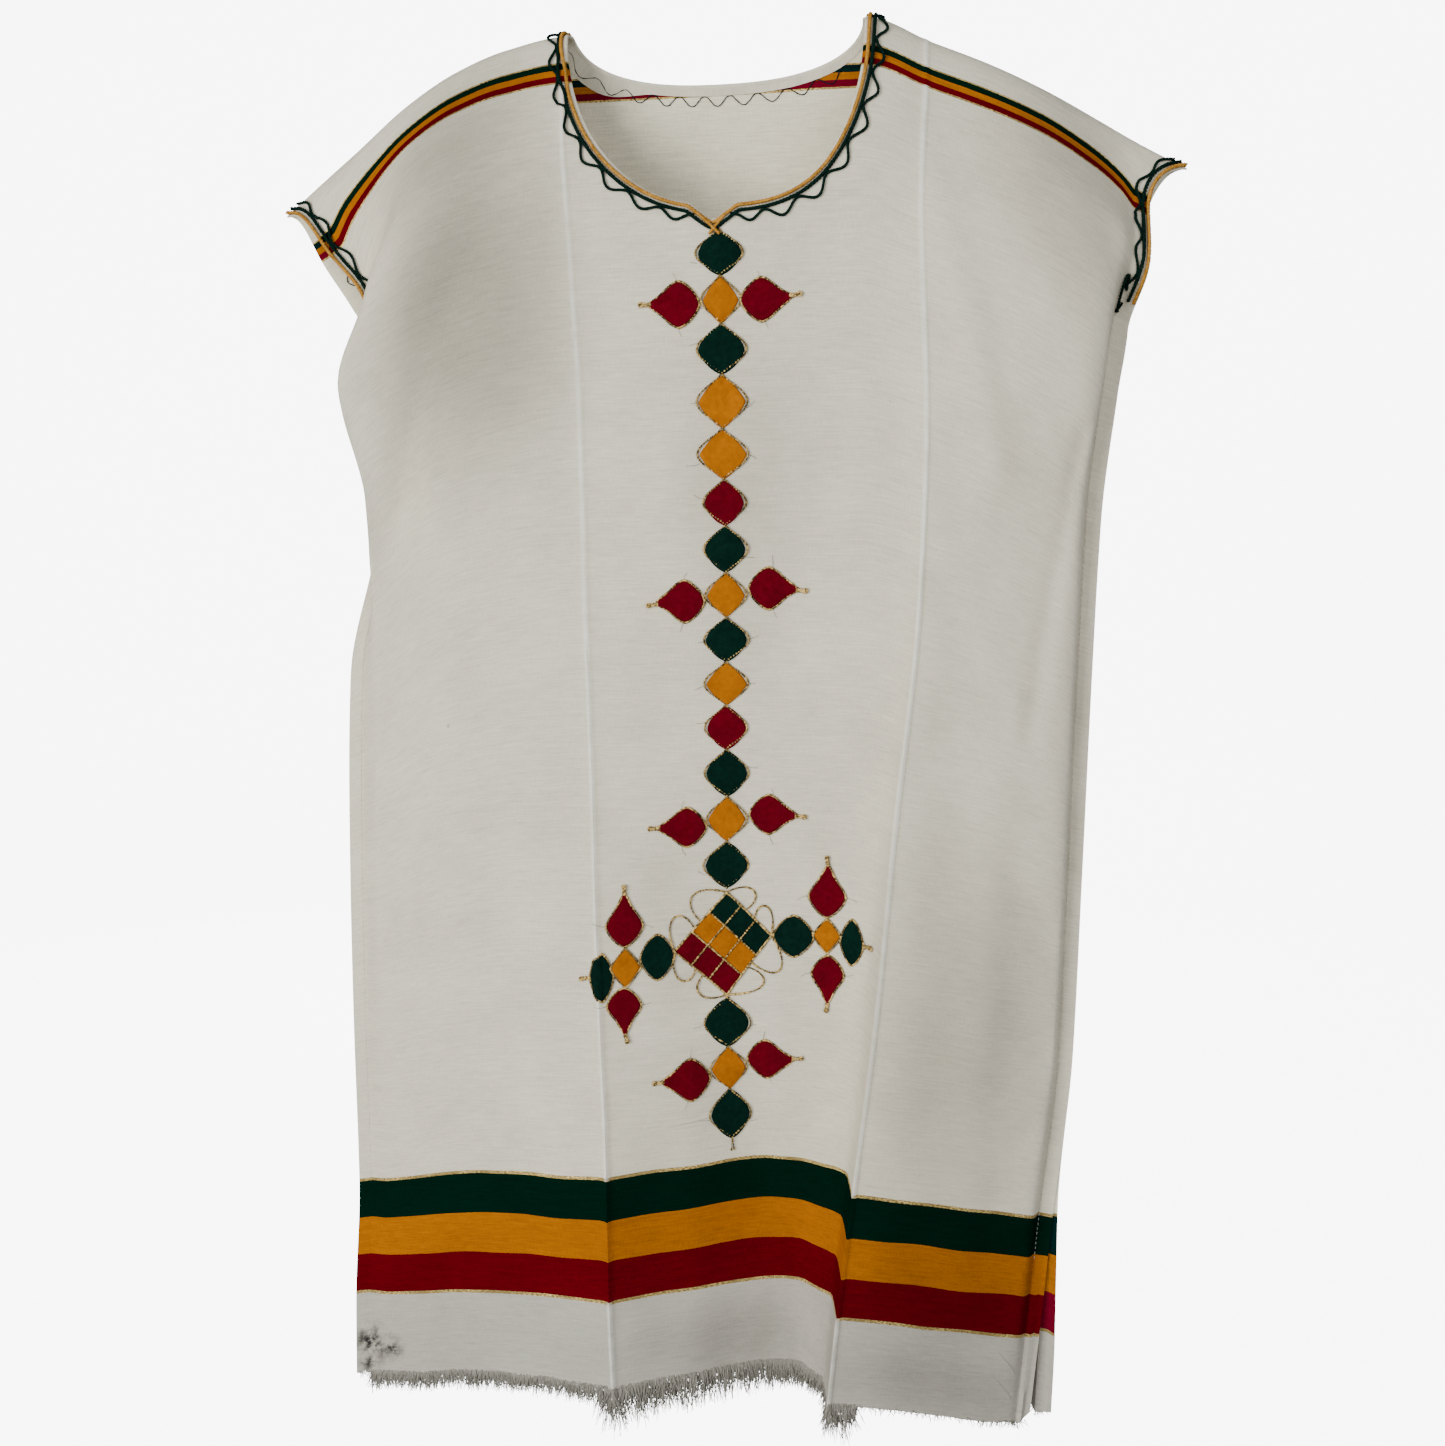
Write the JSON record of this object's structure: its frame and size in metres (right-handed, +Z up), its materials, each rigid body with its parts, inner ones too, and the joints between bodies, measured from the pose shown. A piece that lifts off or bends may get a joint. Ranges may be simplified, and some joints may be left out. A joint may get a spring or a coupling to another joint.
{
  "type": "habesha kemis dress",
  "caption": "Hand-woven white cotton tunic dress with short sleeves cut in one, tricolour bands, corded neck, raised cloth motif and fringed hem.",
  "frame": {"origin": "on the shoulder fold, midway between the two ends of the neck opening, at the wall's middle surface", "axes": "+Z up, along the length of the dress; +X to the right of someone who looks at the front; the front faces -Y"},
  "size_m": [0.688, 0.1475, 1.1361],
  "materials": {
    "cotton": "matt hand-woven cotton with thick weft slubs",
    "green": "dark green cotton cord and cloth",
    "yellow": "golden yellow cotton cord and cloth",
    "red": "deep red cotton cloth"
  },
  "bodies": {
    "root": {"back_fringe": "cotton", "back_panel": "cotton", "chain_patch_01": "green", "chain_patch_02": "yellow", "chain_patch_03": "green", "chain_patch_04": "yellow", "chain_patch_05": "yellow", "chain_patch_06": "red", "chain_patch_07": "green", "chain_patch_08": "yellow", "chain_patch_09": "green", "chain_patch_10": "yellow", "chain_patch_11": "red", "chain_patch_12": "green", "chain_patch_13": "yellow", "chain_patch_14": "green", "chain_patch_15": "green", "chain_patch_16": "yellow", "chain_patch_17": "green", "front_fringe": "cotton", "front_panel": "cotton", "left_arm_cross": "yellow", "left_arm_inner": "green", "left_arm_lower": "red", "left_arm_outer": "green", "left_arm_upper": "red", "left_sleeve_edge_cord": "yellow", "left_sleeve_green_cord": "green", "left_sleeve_wave_cord": "green", "medallion": "yellow", "neck_edge_cord": "yellow", "neck_green_cord": "green", "neck_wave_cord": "green", "right_arm_cross": "yellow", "right_arm_inner": "green", "right_arm_lower": "red", "right_arm_outer": "green", "right_arm_upper": "red", "right_sleeve_edge_cord": "yellow", "right_sleeve_green_cord": "green", "right_sleeve_wave_cord": "green", "side_drop_left_1": "red", "side_drop_left_2": "red", "side_drop_left_3": "red", "side_drop_left_4": "red", "side_drop_right_1": "red", "side_drop_right_2": "red", "side_drop_right_3": "red", "side_drop_right_4": "red"}
  },
  "joints": []
}
